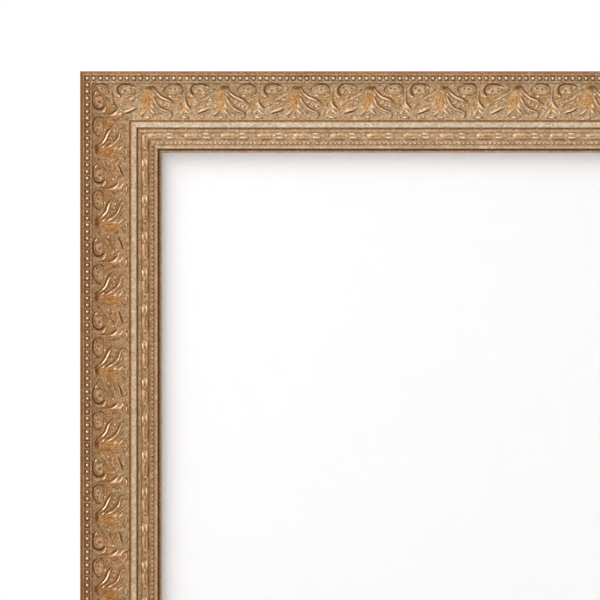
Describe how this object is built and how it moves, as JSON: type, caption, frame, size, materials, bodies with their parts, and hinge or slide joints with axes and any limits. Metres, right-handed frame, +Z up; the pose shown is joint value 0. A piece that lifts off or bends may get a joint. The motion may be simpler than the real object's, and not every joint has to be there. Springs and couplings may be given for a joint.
{
  "type": "picture frame",
  "caption": "Ornate rectangular picture frame of mitred gilt moulding with beads, carved palmettes and a reel course, glazed, with turn buttons and hanging rings behind.",
  "frame": {"origin": "centre of the wall plane, on which the two bumpers rest, level with the middle of the frame", "axes": "+Z up along the frame's height, +Y out of the back towards the wall, +X to the right seen from the front"},
  "size_m": [0.3968, 0.0334, 0.4984],
  "materials": {
    "gilded_wood": "gilded, satin, worn",
    "antique_gilt": "gilded composition ornament with brown patina",
    "pale_gilt": "pale gilded composition ornament",
    "zinc_steel": "zinc plated",
    "brassed_steel": "brass plated",
    "rubber": "soft, matt",
    "clear_glass": "clear",
    "white_board": "blank white mount board",
    "fibreboard": "smooth brown fibreboard"
  },
  "bodies": {
    "frame": {"backing_board": "fibreboard", "bead_course_bottom": "pale_gilt", "bead_course_left": "pale_gilt", "bead_course_right": "pale_gilt", "bead_course_top": "pale_gilt", "bumper_left": "rubber", "bumper_right": "rubber", "button_screw_bottom": "brassed_steel", "button_screw_left_lower": "brassed_steel", "button_screw_left_upper": "brassed_steel", "button_screw_right_lower": "brassed_steel", "button_screw_right_upper": "brassed_steel", "button_screw_top": "brassed_steel", "frieze_bottom": "antique_gilt", "frieze_left": "antique_gilt", "frieze_right": "antique_gilt", "frieze_top": "antique_gilt", "glazing": "clear_glass", "hanger_screw_left": "brassed_steel", "hanger_screw_right": "brassed_steel", "hanger_strap_left": "zinc_steel", "hanger_strap_right": "zinc_steel", "picture_insert": "white_board", "rail_bottom": "gilded_wood", "rail_left": "gilded_wood", "rail_right": "gilded_wood", "rail_top": "gilded_wood", "reel_course_bottom": "pale_gilt", "reel_course_left": "pale_gilt", "reel_course_right": "pale_gilt", "reel_course_top": "pale_gilt", "v_nail_bottom_left_inner": "zinc_steel", "v_nail_bottom_left_outer": "zinc_steel", "v_nail_bottom_right_inner": "zinc_steel", "v_nail_bottom_right_outer": "zinc_steel", "v_nail_top_left_inner": "zinc_steel", "v_nail_top_left_outer": "zinc_steel", "v_nail_top_right_inner": "zinc_steel", "v_nail_top_right_outer": "zinc_steel"},
    "turn_button_bottom": {"turn_button_bottom": "zinc_steel"},
    "turn_button_left_lower": {"turn_button_left_lower": "zinc_steel"},
    "turn_button_left_upper": {"turn_button_left_upper": "zinc_steel"},
    "turn_button_right_lower": {"turn_button_right_lower": "zinc_steel"},
    "turn_button_right_upper": {"turn_button_right_upper": "zinc_steel"},
    "turn_button_top": {"turn_button_top": "zinc_steel"},
    "hanger_ring_left": {"hanger_ring_left": "zinc_steel"},
    "hanger_ring_right": {"hanger_ring_right": "zinc_steel"}
  },
  "joints": [
    {"name": "button_turn_bottom", "type": "hinge", "parent": "frame", "child": "turn_button_bottom", "pos_m": [0, -0.0057, -0.2138], "axis": [0, 1, 0], "continuous": true},
    {"name": "button_turn_left_lower", "type": "hinge", "parent": "frame", "child": "turn_button_left_lower", "pos_m": [-0.163, -0.0057, -0.095], "axis": [0, 1, 0], "continuous": true},
    {"name": "button_turn_left_upper", "type": "hinge", "parent": "frame", "child": "turn_button_left_upper", "pos_m": [-0.163, -0.0057, 0.095], "axis": [0, 1, 0], "continuous": true},
    {"name": "button_turn_right_lower", "type": "hinge", "parent": "frame", "child": "turn_button_right_lower", "pos_m": [0.163, -0.0057, -0.095], "axis": [0, 1, 0], "continuous": true},
    {"name": "button_turn_right_upper", "type": "hinge", "parent": "frame", "child": "turn_button_right_upper", "pos_m": [0.163, -0.0057, 0.095], "axis": [0, 1, 0], "continuous": true},
    {"name": "button_turn_top", "type": "hinge", "parent": "frame", "child": "turn_button_top", "pos_m": [0, -0.0057, 0.2138], "axis": [0, 1, 0], "continuous": true},
    {"name": "ring_swing_left", "type": "hinge", "parent": "frame", "child": "hanger_ring_left", "pos_m": [-0.17645, -0.0031, 0.15325], "axis": [1, 0, 0], "range_deg": [0, 180]},
    {"name": "ring_swing_right", "type": "hinge", "parent": "frame", "child": "hanger_ring_right", "pos_m": [0.17645, -0.0031, 0.15325], "axis": [1, 0, 0], "range_deg": [0, 180]}
  ]
}
